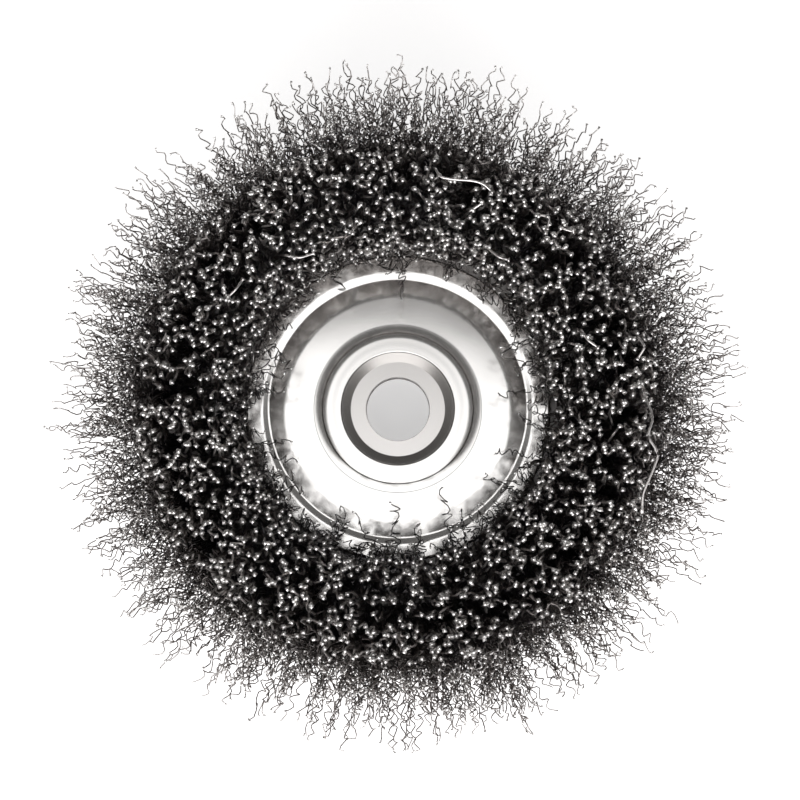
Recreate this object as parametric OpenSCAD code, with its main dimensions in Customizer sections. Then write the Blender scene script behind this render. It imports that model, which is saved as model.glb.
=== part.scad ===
// Crimped wire cup brush for an angle grinder, modelled as it stands on the
// back of its nut with the wire face up.
//
// The nut carries everything. Its spigot passes through the drawn steel cup and
// the inner plate, and its end is swaged over the plate as a lip. The plate is a
// shallow pan, upside down, whose skirt stands on the cup's floor. The wires are
// hairpins folded over a core ring at the bottom of the channel between the skirt
// and the cup, and their legs fan out over both rims.
// Z is the spindle axis, and z = 0 is the back face of the nut. Millimetres.

/* [Nut] */
// Nominal diameter of the spindle thread
thread_d = 14; // [12:0.5:16]
// Pitch of the spindle thread
thread_pitch = 2; // [1.25:0.25:2.5]
// Length of the threaded bore from the back face
thread_len = 11.5; // [9:0.1:13]
// Width across the flats of the hexagon
nut_af = 27; // [25:0.5:32]
// Height of the hexagon behind the cup
nut_h = 11; // [8:0.5:14]
// Diameter of the plain bore above the thread, at its foot, from where it widens to the lip
counterbore_d = 17.6; // [16.6:0.1:18.6]
// Thickness of the spigot's wall at the foot of the plain bore
spigot_wall = 2.2; // [1.8:0.1:3]
// Distance that the swaged lip reaches out over the plate
lip_lap = 3.7; // [2.5:0.1:4.5]
// Height of the lip over the plate's face
lip_h = 2; // [1.8:0.1:3]
// Width of the lip's face and its outer rounding, from the mouth to the outside
lip_w = 4.2; // [3.4:0.1:4.8]
// Radius of the rounding between the lip's face and its outside
lip_round_r = 1.3; // [0.6:0.1:1.8]

/* [Outer cup] */
// Width of the channel for the wires, from the plate's skirt to the cup's rim
channel_w = 18.2; // [15.5:0.1:24]
// Depth of the cup from its back to its rim
cup_depth = 21; // [17:0.5:26]
// Thickness of the cup's steel sheet
cup_t = 1.5; // [1:0.1:2]
// Outside radius of the drawn corner
cup_corner_r = 9; // [6:0.5:10]
// Flare of the side wall from the vertical, in degrees
cup_flare = 6; // [0:0.5:9]

/* [Inner plate] */
// Thickness of the plate's steel sheet
plate_t = 1.2; // [0.8:0.1:1.5]
// Height of the plate's face over the cup's floor
plate_h = 5; // [3.5:0.1:7]
// Width of the plate's flat face outside the lip
plate_face_w = 6.8; // [5:0.1:9]
// Width of the shallow bevel round the face
plate_bevel_w = 2.4; // [1.5:0.1:3]
// Fall of the bevel towards the rim, in degrees
plate_bevel_fall = 8; // [4:1:14]
// Width of the flat rim and its bend, from the bevel to the outside of the skirt
plate_rim_w = 4.4; // [3:0.1:6]
// Outside radius of the bend between the rim and the skirt
plate_bend_r = 1.6; // [1.4:0.1:2.4]

/* [Core ring] */
// Distance from the cup's drawn corner in to the flat of the wires' fold
core_set_in = 0.2; // [0.1:0.1:2]
// Thickness of the core ring's wire
core_wire_d = 3.5; // [2.5:0.1:4.2]

/* [Wires] */
// Thickness of one crimped strand
strand_d = 1.7; // [1.2:0.05:2.1]
// Least gap between two strands, side by side on the inside of the core ring
strand_gap = 0.2; // [0.1:0.05:1]
// Length of a strand's leg from the core ring to its tip
leg_len = 41; // [34:0.5:48]
// Sideways throw of the crimp, from the middle line to a crest
crimp_throw = 0.8; // [0.3:0.05:1.1]
// Lean of the innermost legs, in degrees outwards
lean_inner = -11; // [-15:0.5:-6]
// Lean of the outermost legs at their tips, in degrees outwards
lean_outer = 60; // [30:1:62]

/* [Fits] */
// Radial clearance of the spigot in the cup and the plate
spigot_fit = 0.1; // [0.05:0.01:0.2]
// Gap between a folded strand and the ring and cup floor that it is pressed between
wire_seat_gap = 0.02; // [0.01:0.01:0.05]
// Gap between the wires and the rims that they fan out over
wire_rim_gap = 0.3; // [0.2:0.05:0.5]

/* [Hidden] */
$fn = 96;

// Metric thread: the depth of the internal profile is 0.54127 pitches.
thread_minor_d = thread_d - 1.0825 * thread_pitch;
thread_lead_in = 0.9;
thread_top_edge = 0.2;
nut_chamfer = 30;
nut_corner_cut = 1.6;

cup_floor_z = nut_h + cup_t;
plate_face_z = cup_floor_z + plate_h;
cup_rim_z = nut_h + cup_depth;
spigot_r = counterbore_d / 2 + spigot_wall;
sheet_hole_r = spigot_r + spigot_fit;

// The lip has a flat face, a rounded outside, and small roundings at its mouth and its foot.
lip_r = spigot_r + lip_lap;
lip_top_z = plate_face_z + lip_h;
lip_foot_round_r = 0.4;
mouth_r = lip_r - lip_w;
mouth_round_r = 0.25;
mouth_turn = 180 - atan2(mouth_r - counterbore_d / 2, lip_top_z - thread_len);

// The plate's section, from the lip outwards
plate_face_r = lip_r + plate_face_w;
plate_bevel_r = plate_face_r + plate_bevel_w;
plate_rim_z = plate_face_z - plate_bevel_w * tan(plate_bevel_fall);
plate_r = plate_bevel_r + plate_rim_w;

// The cup's side wall is the line that touches both its rim's rounding and its corner.
cup_r = plate_r + channel_w + cup_t / cos(cup_flare);
cup_rim_r = cup_t / 2;
cup_rim = [cup_r - cup_rim_r, cup_rim_z - cup_rim_r];
cup_corner_in = cup_corner_r - cup_rim_r;
cup_wall_h = (cup_rim[1] + cup_corner_in * sin(cup_flare) - nut_h - cup_corner_r) / cos(cup_flare);
cup_corner = cup_rim - cup_corner_in * polar(-cup_flare) - cup_wall_h * [sin(cup_flare), cos(cup_flare)];

corner_steps = 8;

// The fold is a half hexagon round the core ring, so the middles of its flats bear on the
// ring. A strand is a three-sided bar with an edge to the ring and a flat to the cup.
fold_steps = 3;
fold_mitre = cos(90 / fold_steps);
fold_r = (core_wire_d / 2 + wire_seat_gap) / fold_mitre + strand_d / 2;
core_z = cup_floor_z + wire_seat_gap + (fold_r + strand_d / 4) * fold_mitre;
core_ring_r = cup_corner[0] - core_set_in - (fold_r + strand_d / 4) * sin(90 / fold_steps);
most_hairpins = 115;
hairpins = min(most_hairpins, floor(2 * PI * (core_ring_r - fold_r) / (strand_d + strand_gap)));
free_steps = 6;
strand_sides = 3;
golden = (sqrt(5) - 1) / 2;

// Fractions of the way across the channel where the inner legs end and the outer ones begin
inner_legs_ratio = 0.58;
outer_legs_ratio = 0.42;

// Where the innermost and outermost legs leave the plate's rim and the cup's rim
inner_exit = [plate_r + wire_rim_gap + strand_d / 2, plate_face_z + strand_d];
outer_exit = [plate_r + channel_w - wire_rim_gap - strand_d / 2, cup_rim_z + strand_d / 4];

function arc_points(centre, r, from, to, steps) =
    [for (i = [0 : steps]) let (a = from + (to - from) * i / steps) centre + r * [cos(a), sin(a)]];
function mix(a, b, t) = a + (b - a) * t;
function unit(v) = v / norm(v);
function fraction(x) = x - floor(x);
function sum(v, to, i = 0) = i > to ? v[0] * 0 : v[i] + sum(v, to, i + 1);
function polar(a) = [cos(a), sin(a)];

// A ring whose section is a closed outline of [radius, height] points
module ring(outline) {
    rotate_extrude() polygon(outline);
}

// The hexagon, with both ends turned down to a cone at its corners
module hexagon() {
    corner_r = nut_af / 2 / cos(30);
    cone_h = nut_corner_cut * tan(nut_chamfer) * 2;
    intersection() {
        cylinder(r = corner_r, h = nut_h, $fn = 6);
        ring([
            [0, 0], [corner_r - nut_corner_cut, 0], [corner_r + nut_corner_cut, cone_h],
            [corner_r + nut_corner_cut, nut_h - cone_h], [corner_r - nut_corner_cut, nut_h], [0, nut_h],
        ]);
    }
}

// The outside of the spigot and of the lip swaged over the plate
module spigot() {
    ring(concat(
        [[0, 0], [spigot_r, 0], [spigot_r, plate_face_z]],
        arc_points([lip_r - lip_foot_round_r, plate_face_z + lip_foot_round_r], lip_foot_round_r, -90, 0, 3),
        arc_points([lip_r - lip_round_r, lip_top_z - lip_round_r], lip_round_r, 0, 90, 8),
        [[0, lip_top_z]]
    ));
}

// Everything that is bored out of the nut, from the back face up
module nut_bore() {
    minor_r = thread_minor_d / 2;
    past = 1;
    mouth_middle = [mouth_r + mouth_round_r, lip_top_z - mouth_round_r];
    ring(concat(
        [[0, -past], [minor_r + thread_lead_in + past, -past], [minor_r, thread_lead_in]],
        [[minor_r, thread_len - thread_top_edge], [minor_r + thread_top_edge, thread_len]],
        [[counterbore_d / 2, thread_len]],
        arc_points(mouth_middle, mouth_round_r, mouth_turn, 90, 3),
        [[mouth_middle[0], lip_top_z + past], [0, lip_top_z + past]]
    ));
}

module hub_nut() {
    color("silver") difference() {
        union() {
            hexagon();
            spigot();
        }
        nut_bore();
    }
}

// The drawn cup: a flat back, a large corner, and a wall that opens to a rounded rim
module outer_cup() {
    color("lightgray") ring(concat(
        [[sheet_hole_r, nut_h]],
        arc_points(cup_corner, cup_corner_r, -90, -cup_flare, corner_steps),
        arc_points(cup_rim, cup_rim_r, -cup_flare, 180 - cup_flare, corner_steps),
        arc_points(cup_corner, cup_corner_r - cup_t, -cup_flare, -90, corner_steps),
        [[sheet_hole_r, cup_floor_z]]
    ));
}

// The drawn plate, a pan upside down: a flat face, a shallow bevel, a rim and a skirt
module inner_plate() {
    bend = [plate_r - plate_bend_r, plate_rim_z - plate_bend_r];
    color("gainsboro") ring(concat(
        [[sheet_hole_r, plate_face_z], [plate_face_r, plate_face_z], [plate_bevel_r, plate_rim_z]],
        arc_points(bend, plate_bend_r, 90, 0, corner_steps),
        [[plate_r, cup_floor_z], [plate_r - plate_t, cup_floor_z]],
        arc_points(bend, plate_bend_r - plate_t, 0, 90, corner_steps),
        [[plate_bevel_r, plate_rim_z - plate_t], [plate_face_r, plate_face_z - plate_t]],
        [[sheet_hole_r, plate_face_z - plate_t]]
    ));
}

// The hoop that every wire is folded over
module core_ring() {
    color("dimgray") rotate_extrude()
        translate([core_ring_r, core_z]) circle(d = core_wire_d, $fn = 48);
}

// One leg from the fold to its tip, as points in the radial plane of its hairpin.
// side is -1 for the inner leg and 1 for the outer one, and spread, from 0 to 1,
// says how far across the channel the leg lies and how far it leans.
function leg(side, spread, turn) =
    let (
        foot = [core_ring_r + side * fold_r, core_z],
        across = side < 0 ? inner_legs_ratio * spread : mix(outer_legs_ratio, 1, spread),
        exit = mix(inner_exit, outer_exit, across),
        tip_lean = mix(lean_inner, lean_outer, across),
        first_lean = max(lean_inner, atan2(exit[0] - foot[0], exit[1] - foot[1])),
        step = (leg_len - norm(exit - foot)) / free_steps,
        leans = [for (k = [0 : free_steps - 1]) mix(first_lean, tip_lean, sqrt((k + 1) / free_steps))],
        steps = [for (a = leans) step * [sin(a), cos(a)]]
    )
    concat([[foot[0], 0, foot[1]], [exit[0], 0, exit[1]]], [
        for (k = [1 : free_steps])
            let (p = exit + sum(steps, k - 1), throw = crimp_throw * turn * (k % 2 == 0 ? 1 : -1))
            [p[0], throw, p[1]]
    ]);

// The whole centre line of hairpin i: down the inner leg, round the core ring, up the outer leg
function hairpin_path(i) =
    let (
        turn = i % 2 == 0 ? 1 : -1,
        inner = leg(-1, fraction(i * golden), turn),
        outer = leg(1, fraction(i * golden + 0.5), turn),
        fold = [
            for (k = [1 : fold_steps - 1])
                let (a = 180 + 180 * k / fold_steps)
                [core_ring_r + fold_r * cos(a), 0, core_z + fold_r * sin(a)]
        ]
    )
    concat([for (k = [len(inner) - 1 : -1 : 0]) inner[k]], fold, outer);

// A strand swept along a path that stays close to the plane y = 0
module strand(path) {
    last = len(path) - 1;
    corners = [
        for (k = [0 : last])
            let (
                along = unit(path[min(k + 1, last)] - path[max(k - 1, 0)]),
                out = unit(cross(along, [0, 1, 0])),
                side = cross(out, along)
            )
            for (j = [0 : strand_sides - 1])
                let (a = 360 * j / strand_sides)
                path[k] + strand_d / 2 * (cos(a) * out + sin(a) * side)
    ];
    walls = [
        for (k = [0 : last - 1], j = [0 : strand_sides - 1])
            let (a = k * strand_sides + j, b = k * strand_sides + (j + 1) % strand_sides)
            for (face = [[a, b, a + strand_sides], [b, b + strand_sides, a + strand_sides]]) face
    ];
    first_end = [for (j = [strand_sides - 1 : -1 : 0]) j];
    last_end = [for (j = [0 : strand_sides - 1]) last * strand_sides + j];
    polyhedron(points = corners, faces = concat([first_end], walls, [last_end]));
}

// Every hairpin, spaced evenly round the core ring
module wires() {
    color("slategray") for (i = [0 : hairpins - 1])
        rotate([0, 0, 360 * i / hairpins]) strand(hairpin_path(i));
}

hub_nut();
outer_cup();
inner_plate();
core_ring();
wires();
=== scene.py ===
"""Crimped wire cup brush, standing on the back of its nut and seen from straight above.

Lengths are in metres. MM turns the real sizes, which are in millimetres, into metres.
"""
import math

import bmesh
import bpy
import numpy as np
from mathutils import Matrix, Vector


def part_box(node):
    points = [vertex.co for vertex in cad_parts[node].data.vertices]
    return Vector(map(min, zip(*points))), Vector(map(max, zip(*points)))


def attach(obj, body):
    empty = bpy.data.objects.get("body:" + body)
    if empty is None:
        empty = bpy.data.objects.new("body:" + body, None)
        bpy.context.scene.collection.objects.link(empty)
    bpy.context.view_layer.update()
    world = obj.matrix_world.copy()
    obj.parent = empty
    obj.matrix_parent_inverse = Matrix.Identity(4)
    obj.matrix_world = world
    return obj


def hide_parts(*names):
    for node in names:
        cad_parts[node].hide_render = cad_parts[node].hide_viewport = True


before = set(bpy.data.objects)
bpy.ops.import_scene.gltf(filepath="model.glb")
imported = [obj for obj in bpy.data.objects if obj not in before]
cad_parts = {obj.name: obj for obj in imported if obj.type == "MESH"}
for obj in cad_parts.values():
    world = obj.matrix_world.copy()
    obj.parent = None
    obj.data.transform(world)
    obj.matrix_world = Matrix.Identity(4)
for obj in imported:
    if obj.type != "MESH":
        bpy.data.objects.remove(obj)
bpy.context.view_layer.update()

MM = 0.001
SEED = 41
TURN = 2 * math.pi

# Sheet and nut, from the frame where it gives them
CUP_LOW, CUP_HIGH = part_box("outer_cup")
PLATE_LOW, PLATE_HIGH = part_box("inner_plate")
NUT_LOW, NUT_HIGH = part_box("hub_nut")

CUP_BACK_Z = CUP_LOW[2]
CUP_RIM_Z = CUP_HIGH[2]
CUP_RIM_R = CUP_HIGH[0]
CUP_SHEET = 1.5 * MM
CUP_CORNER_R = 9 * MM
CUP_FLARE = math.radians(6)

PLATE_SHEET = 1.2 * MM
PLATE_FOOT_Z = PLATE_LOW[2]
PLATE_FACE_Z = PLATE_HIGH[2]
PLATE_R = PLATE_HIGH[0]
PLATE_FACE_R = 20.9 * MM
PLATE_GROOVE_R = 23.9 * MM
PLATE_RIM_R = 25.1 * MM
PLATE_FALL = math.radians(2.8)
PLATE_CLIMB = math.radians(6)
RIM_CLIMB = math.radians(0.6)
PLATE_BEND_R = 0.5 * MM
PLATE_EASE_R = (20 * MM, 3 * MM, 7 * MM, PLATE_BEND_R)
SHEET_HOLE_R = 11.1 * MM

NUT_CORNER_R = NUT_HIGH[0]
NUT_CORNER_CUT = 1.6 * MM
NUT_CHAMFER = math.radians(30)
SPIGOT_R = 11 * MM
LIP_TOP_Z = NUT_HIGH[2]
LIP_FACE_R = 12.9 * MM
LIP_R = 14.0 * MM
LIP_ROUND_R = 6 * MM
LIP_EDGE_R = 0.2 * MM
SHEET_LIFT_W = 1.5 * MM
SHEET_LIFT = math.radians(10)
MOUTH_R = 10.3 * MM
MOUTH_ROUND_R = 0.25 * MM
BORE_R = 8.8 * MM

# Spindle thread, M14x2 with the metric 60 degree profile
THREAD_PITCH = 2 * MM
THREAD_MINOR_R = 5.9175 * MM
THREAD_DEPTH = 0.54127 * THREAD_PITCH
THREAD_LEN = 11.5 * MM
THREAD_LEAD_IN = 0.9 * MM
THREAD_TOP_EDGE = 0.06 * MM
THREAD_RUNOUT = 1.5 * MM

# Distance past a rounding at which the shading of a flat is flat again
FLAT_HOLD = 0.08 * MM

# Wire
CRIMP_WAVE = 2.8 * MM
CROSS_WAVE = 3.9 * MM
CUT_END = 0.35 * MM
CUT_END_SWELL = 2.2
# Steps next to each tip that take the bright wire material: a painted highlight for the lit last millimetres
HIGHLIGHT_STEPS = 4


# Camera

def make_camera():
    """Nearly overhead, a little towards the front, as in the photograph."""
    distance = 560 * MM
    elevation = math.radians(88.6)
    aim = Vector((0.4 * MM, 2.0 * MM, 0))
    data = bpy.data.cameras.new("camera")
    data.sensor_width = 36
    data.lens = 132
    camera = bpy.data.objects.new("camera", data)
    back = Vector((0, -math.cos(elevation), math.sin(elevation)))
    camera.location = aim + distance * back
    camera.rotation_euler = (-back).to_track_quat("-Z", "Y").to_euler()
    bpy.context.scene.collection.objects.link(camera)
    bpy.context.scene.camera = camera


# Materials

def linear(hex_colour):
    """An sRGB hex colour as linear RGBA."""
    parts = [int(hex_colour[i:i + 2], 16) / 255 for i in (1, 3, 5)]
    return [c / 12.92 if c <= 0.04045 else ((c + 0.055) / 1.055) ** 2.4 for c in parts] + [1.0]


def add_node(tree, kind, inputs=None, **settings):
    """Adds a node. Each of inputs is a socket's name or number with a value or another node's output."""
    node = tree.nodes.new(kind)
    for name, value in settings.items():
        setattr(node, name, value)
    for socket, value in (inputs or {}).items():
        if isinstance(value, bpy.types.NodeSocket):
            tree.links.new(value, node.inputs[socket])
        else:
            node.inputs[socket].default_value = value
    return node


def new_material(name):
    """An empty material and its node tree."""
    material = bpy.data.materials.new(name)
    material.use_nodes = True
    material.node_tree.nodes.clear()
    return material, material.node_tree


def bump_from(tree, height, strength):
    """The normal of a surface with relief of 0.02 mm, weakened to that strength."""
    relief = {"Height": height, "Strength": strength, "Distance": 0.02 * MM}
    return add_node(tree, "ShaderNodeBump", relief).outputs[0]


def finish_metal(tree, inputs):
    """A metal surface with these inputs, joined to the output."""
    inputs = {"Metallic": 1.0, **inputs}
    surface = add_node(tree, "ShaderNodeBsdfPrincipled", inputs)
    add_node(tree, "ShaderNodeOutputMaterial", {"Surface": surface.outputs[0]})


def zinc_plated_sheet(name, colour, least_rough, most_rough):
    """Pressed sheet steel, zinc plated: a pale, slightly warm satin with a faint cloud of dull spots."""
    material, tree = new_material(name)
    place = add_node(tree, "ShaderNodeTexCoord").outputs["Object"]
    cloud = add_node(tree, "ShaderNodeTexNoise", {"Vector": place, "Scale": 1 / (9 * MM), "Detail": 1.0})
    grain = add_node(tree, "ShaderNodeTexNoise", {"Vector": place, "Scale": 1 / (0.3 * MM), "Detail": 1.0})
    limits = {1: 0.2, 2: 0.8, 3: least_rough, 4: most_rough}
    rough = add_node(tree, "ShaderNodeMapRange", {0: cloud.outputs[0], **limits})
    bump = bump_from(tree, grain.outputs[0], 0.02)
    finish_metal(tree, {"Base Color": linear(colour), "Roughness": rough.outputs[0], "Normal": bump})
    return material


def turned_plated_steel():
    """Turned carbon steel, zinc plated: rings left by the tool round the spindle axis, 0.25 mm apart."""
    material, tree = new_material("turned_plated_steel")
    place = add_node(tree, "ShaderNodeTexCoord").outputs["Object"]
    rings = add_node(
        tree, "ShaderNodeTexWave", {"Vector": place, "Scale": 1 / (5 * MM), "Distortion": 0.6, "Detail": 1.0},
        wave_type="RINGS", rings_direction="Z", wave_profile="SIN",
    )
    rough = add_node(tree, "ShaderNodeMapRange", {0: rings.outputs["Fac"], 3: 0.13, 4: 0.16})
    bump = bump_from(tree, rings.outputs["Fac"], 0.02)
    finish_metal(tree, {"Base Color": linear("#dcdad8"), "Roughness": rough.outputs[0], "Normal": bump})
    return material


def drawn_hexagon_steel():
    """Cold drawn hexagon bar, zinc plated: a mid grey satin with faint die lines 0.4 mm apart along it."""
    material, tree = new_material("drawn_hexagon_steel")
    place = add_node(tree, "ShaderNodeTexCoord").outputs["Object"]
    along_bar = add_node(tree, "ShaderNodeMapping", {"Vector": place, "Scale": (1, 1, 0.02)})
    lines = add_node(
        tree, "ShaderNodeTexNoise", {"Vector": along_bar.outputs[0], "Scale": 1 / (0.4 * MM), "Detail": 2.0})
    rough = add_node(tree, "ShaderNodeMapRange", {0: lines.outputs[0], 1: 0.3, 2: 0.7, 3: 0.26, 4: 0.36})
    bump = bump_from(tree, lines.outputs[0], 0.08)
    finish_metal(tree, {"Base Color": linear("#a8a6a5"), "Roughness": rough.outputs[0], "Normal": bump})
    return material


def bored_steel():
    """The bore, where little zinc settles: drilled, tapped carbon steel, a duller grey than the lip."""
    material, tree = new_material("bored_carbon_steel")
    finish_metal(tree, {"Base Color": linear("#cfccca"), "Roughness": 0.2})
    return material


def tempered_wire():
    """Tempered, crimped carbon steel wire: nearly black, with a drawn gloss that glints at each crest."""
    material, tree = new_material("tempered_steel_wire")
    finish_metal(tree, {"Base Color": linear("#9b9592"), "Roughness": 0.33})
    return material


def painted_highlight_wire():
    """The same wire painted near white over its last few millimetres: a painted highlight for the stems lit
    near the tips.
    """
    material, tree = new_material("steel_wire_painted_highlight")
    finish_metal(tree, {"Base Color": linear("#eae6e4"), "Roughness": 0.28})
    return material


def sheared_end_with_painted_highlight():
    """The sheared end of a wire: bare cut steel, its colour raised near white as a painted highlight, so that
    each tip shows a pale dot.
    """
    material, tree = new_material("sheared_wire_end_painted_highlight")
    finish_metal(tree, {"Base Color": linear("#fbf9f7"), "Roughness": 0.34})
    return material


def bare_ring_wire():
    """Drawn mild steel wire, bare: a plain grey with a dull drawn sheen."""
    material, tree = new_material("bare_drawn_steel")
    finish_metal(tree, {"Base Color": linear("#8c8a88"), "Roughness": 0.38})
    return material


# Meshes

def object_from(name, points, faces, material, sharp=30):
    """A smooth shaded mesh whose edges stay sharp past that angle in degrees, riding on the one body."""
    mesh = bpy.data.meshes.new(name)
    mesh.from_pydata([tuple(p) for p in points], [], [tuple(f) for f in faces])
    mesh.materials.append(material)
    mesh.shade_smooth()
    mesh.set_sharp_from_angle(angle=math.radians(sharp))
    piece = bpy.data.objects.new(name, mesh)
    bpy.context.scene.collection.objects.link(piece)
    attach(piece, "root")
    return piece


def arc(centre, radius, start, end, steps=14):
    """Points of an arc in the plane of radius and height. Angles are in radians."""
    angles = np.linspace(start, end, steps + 1)
    return [(centre[0] + radius * math.cos(a), centre[1] + radius * math.sin(a)) for a in angles]


def held_arc(centre, radius, start, end, steps=14):
    """An arc with one more point on the flat at each end, which keeps the shading of the flats flat."""
    points = arc(centre, radius, start, end, steps)
    hold = math.copysign(FLAT_HOLD, end - start)
    first, last = points[0], points[-1]
    before = (first[0] + hold * math.sin(start), first[1] - hold * math.cos(start))
    after = (last[0] - hold * math.sin(end), last[1] + hold * math.cos(end))
    return [before] + points + [after]


def along(angle, length):
    """A step of that length in the plane of radius and height."""
    return np.array((math.cos(angle), math.sin(angle))) * length


def ring_from(name, outline, material, segments=192):
    """The closed outline of (radius, height) points turned round the spindle axis."""
    columns = [[(r * math.cos(a), r * math.sin(a), z) for r, z in outline]
               for a in np.arange(segments) * TURN / segments]
    return columns_to_object(name, columns, material)


def columns_to_object(name, columns, material):
    """Joins closed outlines, one for each direction round the axis, into a closed ring."""
    count = len(columns[0])
    points = [p for column in columns for p in column]
    faces = []
    for c in range(len(columns)):
        here = c * count
        there = (c + 1) % len(columns) * count
        for k in range(count):
            above = (k + 1) % count
            faces.append((here + k, there + k, there + above, here + above))
    return object_from(name, points, faces, material)


def make_cup(material):
    """The drawn cup: flat back, large corner, flared wall and a rounded rim."""
    quarter = math.pi / 2
    rim_round = CUP_SHEET / 2
    rim = np.array((CUP_RIM_R - rim_round, CUP_RIM_Z - rim_round))
    corner_in = CUP_CORNER_R - rim_round
    wall = (rim[1] + corner_in * math.sin(CUP_FLARE) - CUP_BACK_Z - CUP_CORNER_R) / math.cos(CUP_FLARE)
    corner = rim - along(-CUP_FLARE, corner_in) - wall * np.array((math.sin(CUP_FLARE), math.cos(CUP_FLARE)))
    outline = [(SHEET_HOLE_R, CUP_BACK_Z)]
    outline += held_arc(corner, CUP_CORNER_R, -quarter, -CUP_FLARE)
    outline += held_arc(rim, rim_round, -CUP_FLARE, math.pi - CUP_FLARE)
    outline += held_arc(corner, CUP_CORNER_R - CUP_SHEET, -CUP_FLARE, -quarter)
    outline += [(SHEET_HOLE_R, CUP_BACK_Z + CUP_SHEET)]
    piece = ring_from("outer_cup_dressed", outline, material)
    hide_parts("outer_cup")


def eased_bend(before, corner, after, radius, steps=6):
    """The corner of three (radius, height) points rounded off, held flat on both sides."""
    start, middle, end = (np.array(p) for p in (before, corner, after))
    back = (start - middle) / np.linalg.norm(start - middle)
    ahead = (end - middle) / np.linalg.norm(end - middle)
    reach = radius / math.tan(math.acos(np.clip(back @ ahead, -1, 1)) / 2)
    first, last = middle + back * reach, middle + ahead * reach
    t = np.linspace(0, 1, steps + 1)[:, None]
    curve = list((1 - t) ** 2 * first + 2 * t * (1 - t) * middle + t * t * last)
    return [tuple(p) for p in [first + back * FLAT_HOLD] + curve + [last + ahead * FLAT_HOLD]]


def make_plate(material):
    """The pressed plate, a pan upside down: a face with a shallow groove round it, a rim and a skirt."""
    groove_z = PLATE_FACE_Z - (PLATE_GROOVE_R - PLATE_FACE_R) * math.tan(PLATE_FALL)
    rim_z = groove_z + (PLATE_RIM_R - PLATE_GROOVE_R) * math.tan(PLATE_CLIMB)
    edge_z = rim_z + (PLATE_R - PLATE_RIM_R) * math.tan(RIM_CLIMB)
    top = [(SHEET_HOLE_R, PLATE_FACE_Z), (PLATE_FACE_R, PLATE_FACE_Z), (PLATE_GROOVE_R, groove_z),
           (PLATE_RIM_R, rim_z), (PLATE_R, edge_z), (PLATE_R, PLATE_FOOT_Z)]
    inner_z = rim_z - PLATE_SHEET
    outline = [(SHEET_HOLE_R, PLATE_FACE_Z)]
    for k, radius in enumerate(PLATE_EASE_R, 1):
        outline += eased_bend(top[k - 1], top[k], top[k + 1], radius)
    outline += [(PLATE_R, PLATE_FOOT_Z), (PLATE_R - PLATE_SHEET, PLATE_FOOT_Z)]
    outline += [(PLATE_R - PLATE_SHEET, inner_z - PLATE_SHEET), (PLATE_R - 2 * PLATE_SHEET, inner_z)]
    outline += [(PLATE_GROOVE_R, groove_z - PLATE_SHEET), (PLATE_FACE_R, PLATE_FACE_Z - PLATE_SHEET)]
    outline += [(SHEET_HOLE_R, PLATE_FACE_Z - PLATE_SHEET)]
    piece = ring_from("inner_plate_dressed", outline, material)
    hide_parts("inner_plate")


def thread_r(z, turned):
    """Radius of the threaded bore at a height and at a fraction of a turn, right-handed."""
    phase = (z / THREAD_PITCH - turned) % 1
    ramp = 5 / 16
    crest = 1 / 4
    rise = np.clip((phase - crest) / ramp, 0, 1)
    fall = np.clip((1 - phase) / ramp, 0, 1)
    runout = np.clip((THREAD_LEN - z) / THREAD_RUNOUT - 0.4, 0, 1)
    cut = THREAD_DEPTH * min(rise, fall) * runout
    return THREAD_MINOR_R + max(cut, THREAD_LEAD_IN - z, THREAD_TOP_EDGE - THREAD_LEN + z)


def make_nut(materials):
    """The nut with its spigot, its swaged lip and a true helical thread, as one closed skin."""
    segments = 192
    steps = 16
    flat_r = NUT_CORNER_R * math.cos(math.radians(30))
    face_r = NUT_CORNER_R - NUT_CORNER_CUT
    rows = int(round(THREAD_LEN / THREAD_PITCH * steps)) + steps
    quarter = math.pi / 2
    mouth_turn = math.pi - math.atan2(MOUTH_R - BORE_R, LIP_TOP_Z - THREAD_LEN)
    slope = math.asin((LIP_R - LIP_EDGE_R - LIP_FACE_R) / (LIP_ROUND_R - LIP_EDGE_R))
    edge = (LIP_R - LIP_EDGE_R, LIP_TOP_Z - LIP_ROUND_R + (LIP_ROUND_R - LIP_EDGE_R) * math.cos(slope))
    lip = [(SPIGOT_R, CUP_BACK_Z), (SPIGOT_R, PLATE_FACE_Z)]
    lip += held_arc((LIP_R + SHEET_LIFT_W, PLATE_FACE_Z + SHEET_LIFT_W / math.sin(SHEET_LIFT)),
                    SHEET_LIFT_W / math.sin(SHEET_LIFT), -quarter, -quarter - SHEET_LIFT, 10)
    lip += arc(edge, LIP_EDGE_R, 0, quarter - slope, 6)
    lip += arc((LIP_FACE_R, LIP_TOP_Z - LIP_ROUND_R), LIP_ROUND_R, quarter - slope, quarter, 8)[1:]
    lip += [(LIP_FACE_R - FLAT_HOLD, LIP_TOP_Z)]
    mouth = (MOUTH_R + MOUTH_ROUND_R, LIP_TOP_Z - MOUTH_ROUND_R)
    lip += held_arc(mouth, MOUTH_ROUND_R, quarter, mouth_turn, 5)
    lip += [(BORE_R, THREAD_LEN)]
    columns = []
    for c in range(segments + 1):
        turned = c / segments
        angle = turned * TURN
        hexagon_r = flat_r / math.cos((angle + math.pi / 6) % (math.pi / 3) - math.pi / 6)
        cone_z = max(0, (hexagon_r - face_r) * math.tan(NUT_CHAMFER))
        low_r = min(hexagon_r, face_r)
        profile = [(low_r, 0), (hexagon_r, cone_z), (hexagon_r, CUP_BACK_Z - cone_z), (low_r, CUP_BACK_Z)]
        profile += lip
        for k in range(rows, -1, -1):
            z = min(max(0, (k - steps + steps * turned) * THREAD_PITCH / steps), THREAD_LEN)
            profile.append((thread_r(z, turned), z))
        columns.append([(r * math.cos(angle), r * math.sin(angle), z) for r, z in profile])
    return columns_to_closed_nut(columns, materials)


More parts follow.
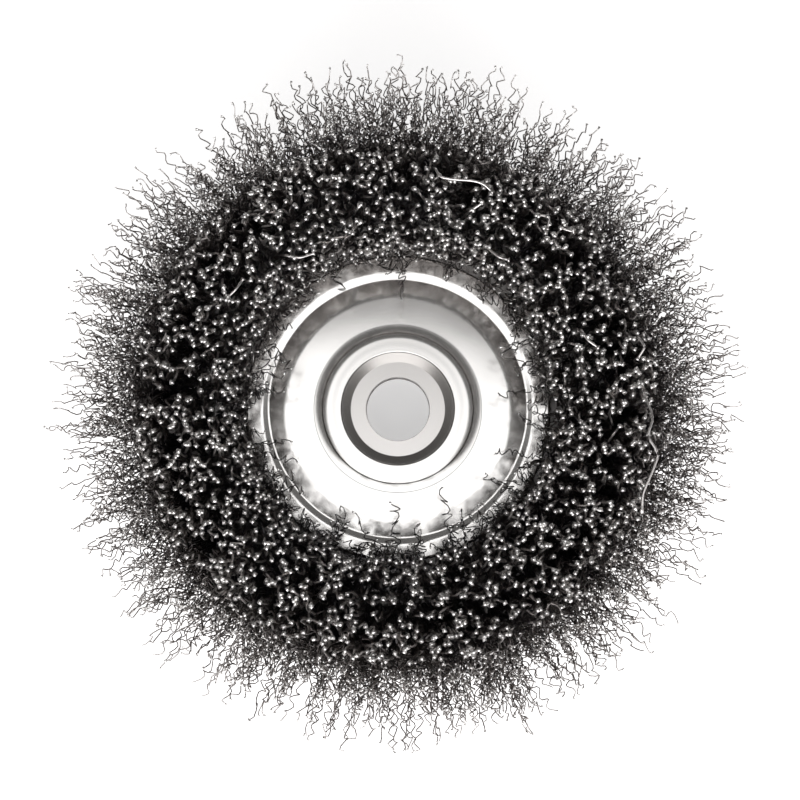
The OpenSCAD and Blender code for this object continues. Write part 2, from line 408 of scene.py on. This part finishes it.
def columns_to_closed_nut(columns, materials):
    """The first and last columns lie at one place, a thread pitch apart in their rows, so they are merged."""
    count = len(columns[0])
    shell = bmesh.new()
    grid = [[shell.verts.new(p) for p in column] for column in columns]
    for here, there in zip(grid, grid[1:]):
        for k in range(count):
            shell.faces.new((here[k], there[k], there[(k + 1) % count], here[(k + 1) % count]))
    bmesh.ops.remove_doubles(shell, verts=shell.verts, dist=0.002 * MM)
    bmesh.ops.dissolve_degenerate(shell, edges=shell.edges, dist=0.001 * MM)
    bmesh.ops.recalc_face_normals(shell, faces=shell.faces)
    mesh = bpy.data.meshes.new("hub_nut_dressed")
    shell.to_mesh(mesh)
    shell.free()
    for material in materials:
        mesh.materials.append(material)
    for face in mesh.polygons:
        reach = math.hypot(face.center[0], face.center[1])
        if reach < BORE_R and face.center[2] > 0:
            face.material_index = 1
        elif reach > SPIGOT_R and 0 < face.center[2] < CUP_BACK_Z:
            face.material_index = 2
    mesh.shade_smooth()
    mesh.set_sharp_from_angle(angle=math.radians(25))
    piece = bpy.data.objects.new("hub_nut_dressed", mesh)
    bpy.context.scene.collection.objects.link(piece)
    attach(piece, "root")
    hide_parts("hub_nut")
    return piece


# Wires

def spread_radii(rng, count, radii, density):
    """Tip radii drawn so that tips per area follow density, a straight-line graph over radii."""
    fine = np.linspace(radii[0], radii[-1], 400)
    weight = np.interp(fine, radii, density) * fine
    total = np.cumsum(weight)
    return np.interp((np.arange(count) + rng.random(count)) / count, total / total[-1], fine)


def wire_paths(rng, tip_r, angle, stations, throw):
    """Crimped centre lines, shaped (wire, station, xyz). stations are distances back from the tip."""
    count = len(tip_r)
    tip_mm = tip_r / MM
    throat_r = np.interp(tip_mm, [14, 31, 46, 61], [29.2, 31.5, 41.5, 45.2]) + rng.normal(0, 1.2, count)
    throat_r = np.clip(throat_r, 29.2, 45.4)
    throat_z = np.interp(throat_r, [29, 45.5], [21, 33])
    dome_z = np.interp(tip_mm, [14, 22, 29, 37, 45, 54, 59, 63], [50, 54, 55.9, 56.0, 55.0, 52.2, 49.8, 46.8])
    sunk = np.interp(tip_mm, [24, 26, 29, 32], [0, 2.5, 2.5, 0])
    tip_z = dome_z - 0.3 + rng.normal(0, 0.5, count) - sunk * np.abs(rng.normal(0, 1, count))
    foot_r = np.interp(throat_r, [29, 45.5], [32.5, 38.8])
    foot_z = np.full(count, 16.0)

    start = np.stack([foot_r, foot_z], 1)
    bend = np.stack([throat_r, throat_z], 1)
    tip = np.stack([tip_mm, tip_z], 1)
    length = np.linalg.norm(bend - start, axis=1) + np.linalg.norm(tip - bend, axis=1)
    back = np.minimum(stations[None, :] / MM / length[:, None], 1.0)
    t = (1 - back)[:, :, None]
    line = (1 - t) ** 2 * start[:, None] + 2 * t * (1 - t) * bend[:, None] + t ** 2 * tip[:, None]
    r, z = line[:, :, 0], line[:, :, 1]
    rim_z = CUP_RIM_Z / MM
    r = np.where(z < rim_z + 0.6, np.minimum(r, 45.6), r)
    r = np.where(z < PLATE_FACE_Z / MM + 1.0, np.maximum(r, 28.9), r)

    free = np.clip((z - 24) / 28, 0, 1.2)
    lean = rng.normal(0, 2.8, count)[:, None] * free ** 1.4
    curl = rng.normal(0, 1.2, count)[:, None] * free ** 3
    loose = np.clip((z - 18) / 8, 0, 1) / MM
    phase = rng.random(count)[:, None] * TURN + stations[None, :] / CRIMP_WAVE * TURN
    wave = np.sin(phase) * rng.uniform(0.7, 1.3, count)[:, None] * throw * loose
    phase = rng.random(count)[:, None] * TURN + stations[None, :] / CROSS_WAVE * TURN
    cross = np.sin(phase) * rng.uniform(0.3, 1.1, count)[:, None] * throw * loose
    turn = rng.random(count)[:, None] * TURN
    side = lean + curl + wave * np.cos(turn) - cross * np.sin(turn)
    r = r + wave * np.sin(turn) + cross * np.cos(turn)

    cos, sin = np.cos(angle)[:, None], np.sin(angle)[:, None]
    return np.stack([r * cos - side * sin, r * sin + side * cos, z], 2) * MM


def wires_to_object(name, paths, angles, wire_r, sides, materials, rng):
    """Closed tubes along the paths, with a painted highlight over the steps near the tip, and sheared off at
    it.
    """
    count, steps, _ = paths.shape
    step = np.gradient(paths, axis=1)
    step /= np.linalg.norm(step, axis=2, keepdims=True)
    round_axis = np.stack([-np.sin(angles), np.cos(angles), 0 * angles], 1)[:, None, :]
    first = np.cross(step, round_axis)
    first /= np.linalg.norm(first, axis=2, keepdims=True)
    second = np.cross(step, first)
    twist = rng.random(count)[:, None] * TURN
    radius = np.full((steps, 1), wire_r)
    radius[-1] *= CUT_END_SWELL
    points = np.empty((count, steps, sides, 3))
    for j in range(sides):
        a = (twist + j * TURN / sides)[:, :, None]
        points[:, :, j] = paths + radius * (np.cos(a) * first + np.sin(a) * second)
    corners = np.arange(sides)
    k = np.arange(steps - 1)[:, None] * sides
    ahead = (corners + 1) % sides
    quads = np.stack([k + corners, k + ahead, k + ahead + sides, k + corners + sides], 2).reshape(-1, 4)
    base = (np.arange(count) * steps * sides)[:, None, None]
    all_quads = (quads[None] + base).reshape(-1, 4)
    ends = np.stack([corners[::-1], corners + (steps - 1) * sides])
    all_ends = (ends[None] + base).reshape(-1, sides)
    mesh = bpy.data.meshes.new(name)
    mesh.vertices.add(points.size // 3)
    mesh.vertices.foreach_set("co", points.ravel())
    loops = np.concatenate([all_quads.ravel(), all_ends.ravel()])
    mesh.loops.add(len(loops))
    mesh.loops.foreach_set("vertex_index", loops)
    sizes = np.concatenate([np.full(len(all_quads), 4), np.full(len(all_ends), sides)])
    mesh.polygons.add(len(sizes))
    mesh.polygons.foreach_set("loop_start", np.concatenate([[0], np.cumsum(sizes)[:-1]]))
    for material in materials:
        mesh.materials.append(material)
    # Material slot of each face: 0 plain wire, 1 painted highlight near the tip, 2 the sheared end, whitened
    # as a painted highlight
    highlight_slot = np.zeros(len(quads))
    highlight_slot[-sides * HIGHLIGHT_STEPS:] = 1
    highlight_slot[-sides:] = 2
    highlight_slot = np.concatenate([np.tile(highlight_slot, count), np.tile([0, 2], count)])
    mesh.polygons.foreach_set("material_index", highlight_slot.astype(np.int32))
    mesh.update(calc_edges=True)
    mesh.shade_smooth()
    mesh.validate()
    piece = bpy.data.objects.new(name, mesh)
    bpy.context.scene.collection.objects.link(piece)
    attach(piece, "root")
    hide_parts("wires")
    return piece


def fine_to_coarse(fine_len, fine_step, total, coarse_steps):
    """Distances back from the tip: the cut end, fine steps that draw the crimp, then a few long ones."""
    near = np.arange(CUT_END, fine_len, fine_step)
    far = np.linspace(fine_len, total, coarse_steps + 1)
    return np.concatenate([[0], near, far])[::-1]


def make_wires(materials):
    """The fill in three belts: the inner edge, the thick middle and the flared outside."""
    rng = np.random.default_rng(SEED)
    radii = np.array([17, 20, 22, 24, 25.5, 26.5, 29, 32, 43, 48, 53, 57, 60, 62.5]) * MM
    density = np.array([0.01, 0.03, 0.07, 0.16, 0.3, 0.8, 0.8, 0.43, 0.43, 0.82, 0.52, 0.3, 0.15, 0.0])
    tips = spread_radii(rng, 4950, radii, density)
    inner = tips[tips < 26.5 * MM]
    outer = tips[tips > 45 * MM]
    middle = tips[(tips >= 26.5 * MM) & (tips <= 45 * MM)]
    # name, tip radii, stations, throw of the crimp, radius, sides, pieces, reach towards the front
    belts = [
        ("inner_wires", inner, fine_to_coarse(15 * MM, 0.5 * MM, 34 * MM, 4), 0.68, 0.11, 3, 2, 1.2),
        ("middle_wires", middle, fine_to_coarse(7 * MM, 0.56 * MM, 34 * MM, 6), 0.6, 0.24, 4, 2, 0),
        ("outer_wires", outer, fine_to_coarse(15.4 * MM, 0.56 * MM, 34 * MM, 4), 0.56, 0.125, 3, 3, 0),
    ]
    for name, radii_of_belt, stations, throw, wire_r, sides, parts, front in belts:
        shuffled = rng.permutation(radii_of_belt)
        for number, share in enumerate(np.array_split(shuffled, parts), 1):
            angles = rng.random(len(share)) * TURN
            reach = share - front * MM * (1 - np.sin(angles)) / 2
            paths = wire_paths(rng, reach, angles, stations, throw * MM)
            wires_to_object(f"{name}_{number}", paths, angles, wire_r * MM, sides, materials, rng)


def make_laid_over_wires(materials):
    """Wires knocked flat by work, lying over the fill, with a painted highlight all along them. Each is a
    line of x, y, z in millimetres.
    """
    lines = [
        [(41.5, 4.5, 46), (42.4, 1.6, 55.4), (44.0, -2.4, 56.0), (42.8, -5.6, 56.1), (44.9, -8.6, 56.0),
         (43.6, -12.0, 55.9), (42.1, -15.4, 55.6), (42.0, -18.8, 55.0)],
        [(5.6, 41.6, 46), (6.5, 40.6, 55.6), (7.2, 39.0, 56.0), (9.6, 38.6, 56.1), (13.0, 38.4, 56.0),
         (14.8, 37.9, 55.8), (16.4, 36.4, 55.2)],
        [(14.8, 27.8, 47), (15.6, 26.8, 54.4), (17.6, 25.2, 55.0), (19.2, 24.8, 54.6)],
        [(23.4, 32.2, 47), (24.2, 32.6, 55.0), (26.2, 32.3, 55.4), (25.8, 30.0, 55.2)],
        [(27.4, 30.8, 47), (28.4, 30.2, 55.2), (30.4, 29.6, 55.4)],
        [(30.6, 13.4, 47), (31.6, 12.8, 54.8), (32.6, 11.0, 55.6), (34.6, 9.6, 55.5)],
        [(41.8, 13.0, 47), (41.4, 11.4, 55.4), (42.6, 9.8, 55.7), (41.2, 7.6, 55.2)],
        [(-30.4, 17.0, 47), (-29.6, 18.0, 54.8), (-27.8, 19.8, 55.2), (-26.6, 21.6, 54.8)],
        [(-21.0, 26.4, 47), (-19.4, 25.6, 54.2), (-16.8, 25.2, 54.8), (-14.4, 26.0, 54.4)],
        [(10.2, 31.6, 47), (12.4, 33.2, 55.2), (14.6, 34.6, 55.7)],
    ]
    paths = []
    for line in lines:
        line = np.array(line)
        away = np.concatenate([[0], np.cumsum(np.linalg.norm(np.diff(line, axis=0), axis=1))])
        fine = np.linspace(0, away[-1], 44)
        path = np.stack([np.interp(fine, away, line[:, axis]) for axis in range(3)], 1)
        for _ in range(2):
            path[1:-1] = (path[:-2] + path[1:-1] * 2 + path[2:]) / 4
        paths.append(path * MM)
    rng = np.random.default_rng(SEED)
    wires_to_object("laid_over_wires", np.array(paths), np.zeros(len(lines)), 0.23 * MM, 6, materials, rng)


# Stage

def make_stage():
    """A white floor that keeps the shadow. Its glow is weaker under the hub's hole, a painted shadow of the
    brush there, and shows in metal too.
    """
    reach = 3.0
    corners = [(-reach, -reach, 0), (reach, -reach, 0), (reach, reach, 0), (-reach, reach, 0)]
    mesh = bpy.data.meshes.new("floor")
    mesh.from_pydata(corners, [], [(0, 1, 2, 3)])
    floor = bpy.data.objects.new("floor", mesh)
    bpy.context.scene.collection.objects.link(floor)
    material, tree = new_material("white_floor")
    rays = add_node(tree, "ShaderNodeLightPath").outputs
    seen = add_node(
        tree, "ShaderNodeMath", {0: rays["Is Camera Ray"], 1: rays["Is Glossy Ray"]}, operation="MAXIMUM")
    seen = add_node(
        tree, "ShaderNodeMath", {0: seen.outputs[0], 1: rays["Is Transmission Ray"]}, operation="MAXIMUM")
    place = add_node(tree, "ShaderNodeTexCoord").outputs["Object"]
    away = add_node(tree, "ShaderNodeVectorMath", {0: place}, operation="LENGTH")
    # Painted shadow: the glow falls from 0.8 to 0.47 within 30 mm of the axis, where the brush shades the
    # floor under the hole
    level = add_node(
        tree, "ShaderNodeMapRange", {0: away.outputs["Value"], 1: 10 * MM, 2: 30 * MM, 3: 0.47, 4: 0.8})
    glow = add_node(tree, "ShaderNodeMath", {0: seen.outputs[0], 1: level.outputs[0]}, operation="MULTIPLY")
    white = add_node(tree, "ShaderNodeEmission", {"Color": linear("#ffffff"), "Strength": glow.outputs[0]})
    matt = add_node(tree, "ShaderNodeBsdfDiffuse", {"Color": linear("#e6e3e3")})
    both = add_node(tree, "ShaderNodeAddShader", {0: white.outputs[0], 1: matt.outputs[0]})
    add_node(tree, "ShaderNodeOutputMaterial", {"Surface": both.outputs[0]})
    mesh.materials.append(material)


def add_softbox(name, shape, size, level, place, tilt):
    """A lamp whose face has that brightness (1 is white), tipped by tilt degrees from straight down."""
    data = bpy.data.lights.new(name, "AREA")
    data.shape = shape
    data.size, data.size_y = size
    fill = math.pi / 4 if shape == "ELLIPSE" else 1.0
    data.energy = level * math.pi * fill * size[0] * size[1]
    lamp = bpy.data.objects.new(name, data)
    lamp.location = place
    lamp.rotation_euler = (math.radians(tilt), 0, 0)
    bpy.context.scene.collection.objects.link(lamp)


def make_lights():
    """A room of soft light, white to the camera, a long lamp overhead and a wide one over the front."""
    world = bpy.data.worlds.new("room")
    bpy.context.scene.world = world
    world.use_nodes = True
    tree = world.node_tree
    tree.nodes.clear()
    way = add_node(tree, "ShaderNodeTexCoord").outputs["Generated"]
    parts = add_node(tree, "ShaderNodeSeparateXYZ", {0: way})
    level = add_node(tree, "ShaderNodeMapRange", {0: parts.outputs["Y"], 1: -0.7, 2: 0.5, 3: 0.35, 4: 0.08})
    camera_ray = add_node(tree, "ShaderNodeLightPath").outputs["Is Camera Ray"]
    room = add_node(tree, "ShaderNodeBackground", {"Color": linear("#fffdfb"), "Strength": level.outputs[0]})
    seen = add_node(tree, "ShaderNodeBackground", {"Color": linear("#ffffff"), "Strength": 1.0})
    mix = add_node(tree, "ShaderNodeMixShader", {0: camera_ray, 1: room.outputs[0], 2: seen.outputs[0]})
    add_node(tree, "ShaderNodeOutputWorld", {"Surface": mix.outputs[0]})
    add_softbox("overhead_softbox", "ELLIPSE", (0.56, 1.5), 1.6, (-0.01, -0.69, 0.9), 0)
    add_softbox("front_softbox", "RECTANGLE", (1.8, 1.0), 2.4, (0, -1.05, 0.75), 45)


make_camera()
make_stage()
make_lights()
make_cup(zinc_plated_sheet("zinc_plated_cup", "#a19f9e", 0.24, 0.32))
make_plate(zinc_plated_sheet("zinc_plated_plate", "#dcdad8", 0.08, 0.11))
make_nut([turned_plated_steel(), bored_steel(), drawn_hexagon_steel()])
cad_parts["core_ring"].data.materials.clear()
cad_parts["core_ring"].data.materials.append(bare_ring_wire())
# Plain wire, a painted highlight for the lit tips, and the sheared ends whitened as a painted highlight
wire_finishes_and_highlights = [tempered_wire(), painted_highlight_wire(), sheared_end_with_painted_highlight()]
make_wires(wire_finishes_and_highlights)
# The laid-over wires take the painted-highlight wire material on every face
make_laid_over_wires([wire_finishes_and_highlights[1]] * 3)

view_settings = bpy.context.scene.view_settings
view_settings.view_transform = "Standard"
